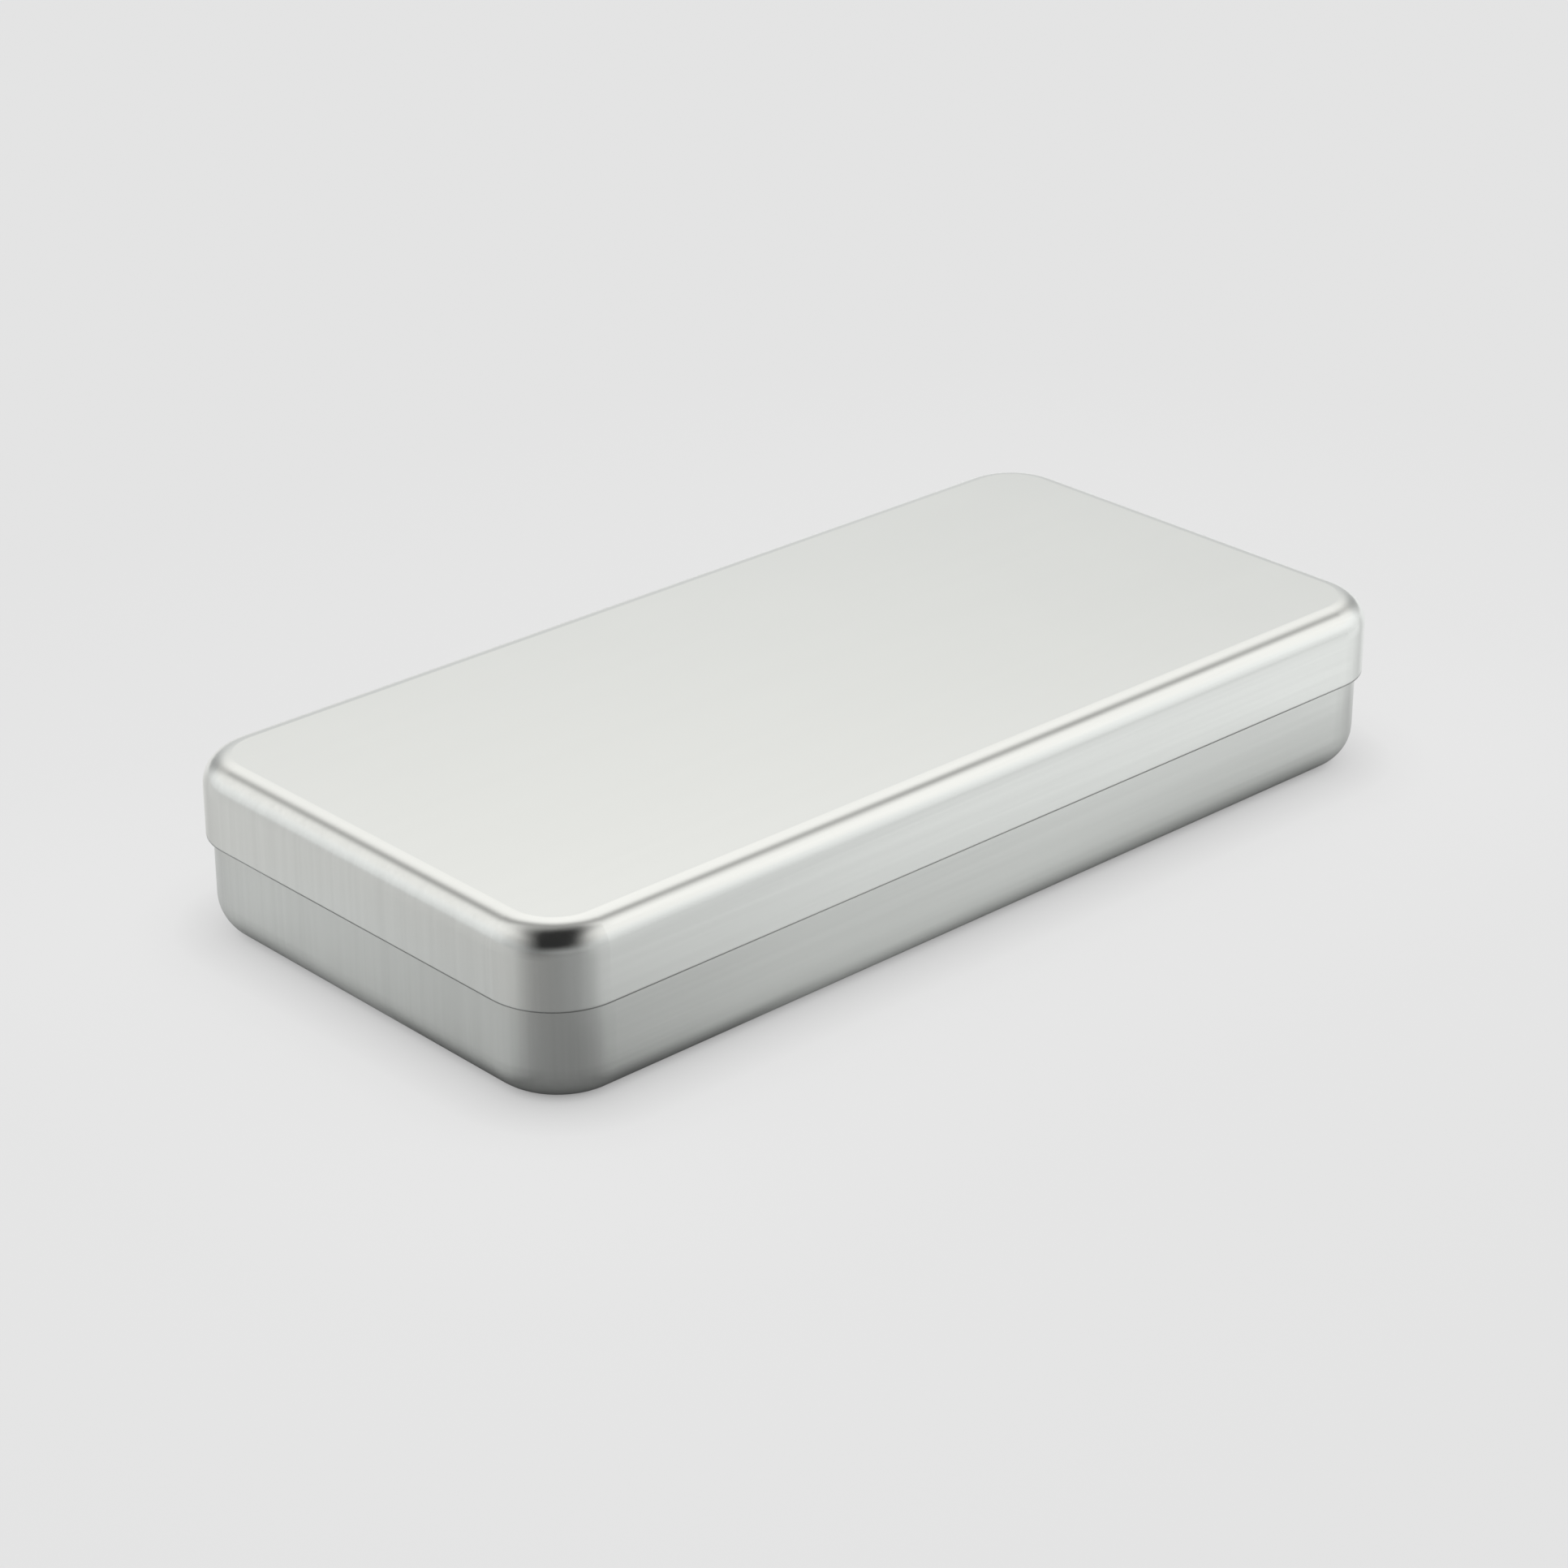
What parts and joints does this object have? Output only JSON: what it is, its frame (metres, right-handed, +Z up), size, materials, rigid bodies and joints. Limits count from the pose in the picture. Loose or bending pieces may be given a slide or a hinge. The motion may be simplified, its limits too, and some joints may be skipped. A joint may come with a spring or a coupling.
{
  "type": "colored pencil tin",
  "caption": "Flat sheet-metal tin with rounded corners and a slip-on lid, holding stacked trays of hexagonal colored pencils.",
  "frame": {"origin": "middle of the base's underside", "axes": "+X along the pencils towards their points, +Y across the tin, +Z up through the lid"},
  "size_m": [0.2, 0.0966, 0.032],
  "materials": {
    "sheet_metal": "fine brushed along the length, satin",
    "tray_plastic": "moulded, fine matt grain",
    "lacquer_01": "ivory gloss lacquer on the barrel, bare wood on the cone and the flat end",
    "core_01": "ivory wax-bound pigment, slightly waxy",
    "lacquer_02": "pale yellow gloss lacquer on the barrel, bare wood on the cone and the flat end",
    "core_02": "pale yellow wax-bound pigment, slightly waxy",
    "lacquer_03": "peach gloss lacquer on the barrel, bare wood on the cone and the flat end",
    "core_03": "peach wax-bound pigment, slightly waxy",
    "lacquer_04": "salmon gloss lacquer on the barrel, bare wood on the cone and the flat end",
    "core_04": "salmon wax-bound pigment, slightly waxy",
    "lacquer_05": "pink gloss lacquer on the barrel, bare wood on the cone and the flat end",
    "core_05": "pink wax-bound pigment, slightly waxy",
    "lacquer_06": "lilac gloss lacquer on the barrel, bare wood on the cone and the flat end",
    "core_06": "lilac wax-bound pigment, slightly waxy",
    "lacquer_07": "pale blue gloss lacquer on the barrel, bare wood on the cone and the flat end",
    "core_07": "pale blue wax-bound pigment, slightly waxy",
    "lacquer_08": "aqua gloss lacquer on the barrel, bare wood on the cone and the flat end",
    "core_08": "aqua wax-bound pigment, slightly waxy",
    "lacquer_09": "apple green gloss lacquer on the barrel, bare wood on the cone and the flat end",
    "core_09": "apple green wax-bound pigment, slightly waxy",
    "lacquer_10": "olive gloss lacquer on the barrel, bare wood on the cone and the flat end",
    "core_10": "olive wax-bound pigment, slightly waxy",
    "lacquer_11": "ochre gloss lacquer on the barrel, bare wood on the cone and the flat end",
    "core_11": "ochre wax-bound pigment, slightly waxy",
    "lacquer_12": "grey gloss lacquer on the barrel, bare wood on the cone and the flat end",
    "core_12": "grey wax-bound pigment, slightly waxy",
    "lacquer_13": "yellow gloss lacquer on the barrel, bare wood on the cone and the flat end",
    "core_13": "yellow wax-bound pigment, slightly waxy",
    "lacquer_14": "orange gloss lacquer on the barrel, bare wood on the cone and the flat end",
    "core_14": "orange wax-bound pigment, slightly waxy",
    "lacquer_15": "red gloss lacquer on the barrel, bare wood on the cone and the flat end",
    "core_15": "red wax-bound pigment, slightly waxy",
    "lacquer_16": "crimson gloss lacquer on the barrel, bare wood on the cone and the flat end",
    "core_16": "crimson wax-bound pigment, slightly waxy",
    "lacquer_17": "violet gloss lacquer on the barrel, bare wood on the cone and the flat end",
    "core_17": "violet wax-bound pigment, slightly waxy",
    "lacquer_18": "dark blue gloss lacquer on the barrel, bare wood on the cone and the flat end",
    "core_18": "dark blue wax-bound pigment, slightly waxy",
    "lacquer_19": "sky blue gloss lacquer on the barrel, bare wood on the cone and the flat end",
    "core_19": "sky blue wax-bound pigment, slightly waxy",
    "lacquer_20": "turquoise gloss lacquer on the barrel, bare wood on the cone and the flat end",
    "core_20": "turquoise wax-bound pigment, slightly waxy",
    "lacquer_21": "green gloss lacquer on the barrel, bare wood on the cone and the flat end",
    "core_21": "green wax-bound pigment, slightly waxy",
    "lacquer_22": "dark green gloss lacquer on the barrel, bare wood on the cone and the flat end",
    "core_22": "dark green wax-bound pigment, slightly waxy",
    "lacquer_23": "brown gloss lacquer on the barrel, bare wood on the cone and the flat end",
    "core_23": "brown wax-bound pigment, slightly waxy",
    "lacquer_24": "black gloss lacquer on the barrel, bare wood on the cone and the flat end",
    "core_24": "black wax-bound pigment, slightly waxy"
  },
  "bodies": {
    "base": {"base": "sheet_metal", "lower_tray": "tray_plastic", "pencil_01_casing": "lacquer_01", "pencil_01_core": "core_01", "pencil_02_casing": "lacquer_02", "pencil_02_core": "core_02", "pencil_03_casing": "lacquer_03", "pencil_03_core": "core_03", "pencil_04_casing": "lacquer_04", "pencil_04_core": "core_04", "pencil_05_casing": "lacquer_05", "pencil_05_core": "core_05", "pencil_06_casing": "lacquer_06", "pencil_06_core": "core_06", "pencil_07_casing": "lacquer_07", "pencil_07_core": "core_07", "pencil_08_casing": "lacquer_08", "pencil_08_core": "core_08", "pencil_09_casing": "lacquer_09", "pencil_09_core": "core_09", "pencil_10_casing": "lacquer_10", "pencil_10_core": "core_10", "pencil_11_casing": "lacquer_11", "pencil_11_core": "core_11", "pencil_12_casing": "lacquer_12", "pencil_12_core": "core_12"},
    "upper_tray": {"upper_tray": "tray_plastic", "pencil_13_casing": "lacquer_13", "pencil_13_core": "core_13", "pencil_14_casing": "lacquer_14", "pencil_14_core": "core_14", "pencil_15_casing": "lacquer_15", "pencil_15_core": "core_15", "pencil_16_casing": "lacquer_16", "pencil_16_core": "core_16", "pencil_17_casing": "lacquer_17", "pencil_17_core": "core_17", "pencil_18_casing": "lacquer_18", "pencil_18_core": "core_18", "pencil_19_casing": "lacquer_19", "pencil_19_core": "core_19", "pencil_20_casing": "lacquer_20", "pencil_20_core": "core_20", "pencil_21_casing": "lacquer_21", "pencil_21_core": "core_21", "pencil_22_casing": "lacquer_22", "pencil_22_core": "core_22", "pencil_23_casing": "lacquer_23", "pencil_23_core": "core_23", "pencil_24_casing": "lacquer_24", "pencil_24_core": "core_24"},
    "lid": {"lid": "sheet_metal"}
  },
  "joints": [
    {"name": "lid_lift", "type": "slide", "parent": "base", "child": "lid", "axis": [0, 0, 1], "range_m": [0, 0.09]},
    {"name": "tray_lift", "type": "slide", "parent": "base", "child": "upper_tray", "axis": [0, 0, 1], "range_m": [0, 0.036]}
  ],
  "couplings": [
    {"joint": "tray_lift", "follows": "lid_lift", "ratio": 0.4}
  ]
}
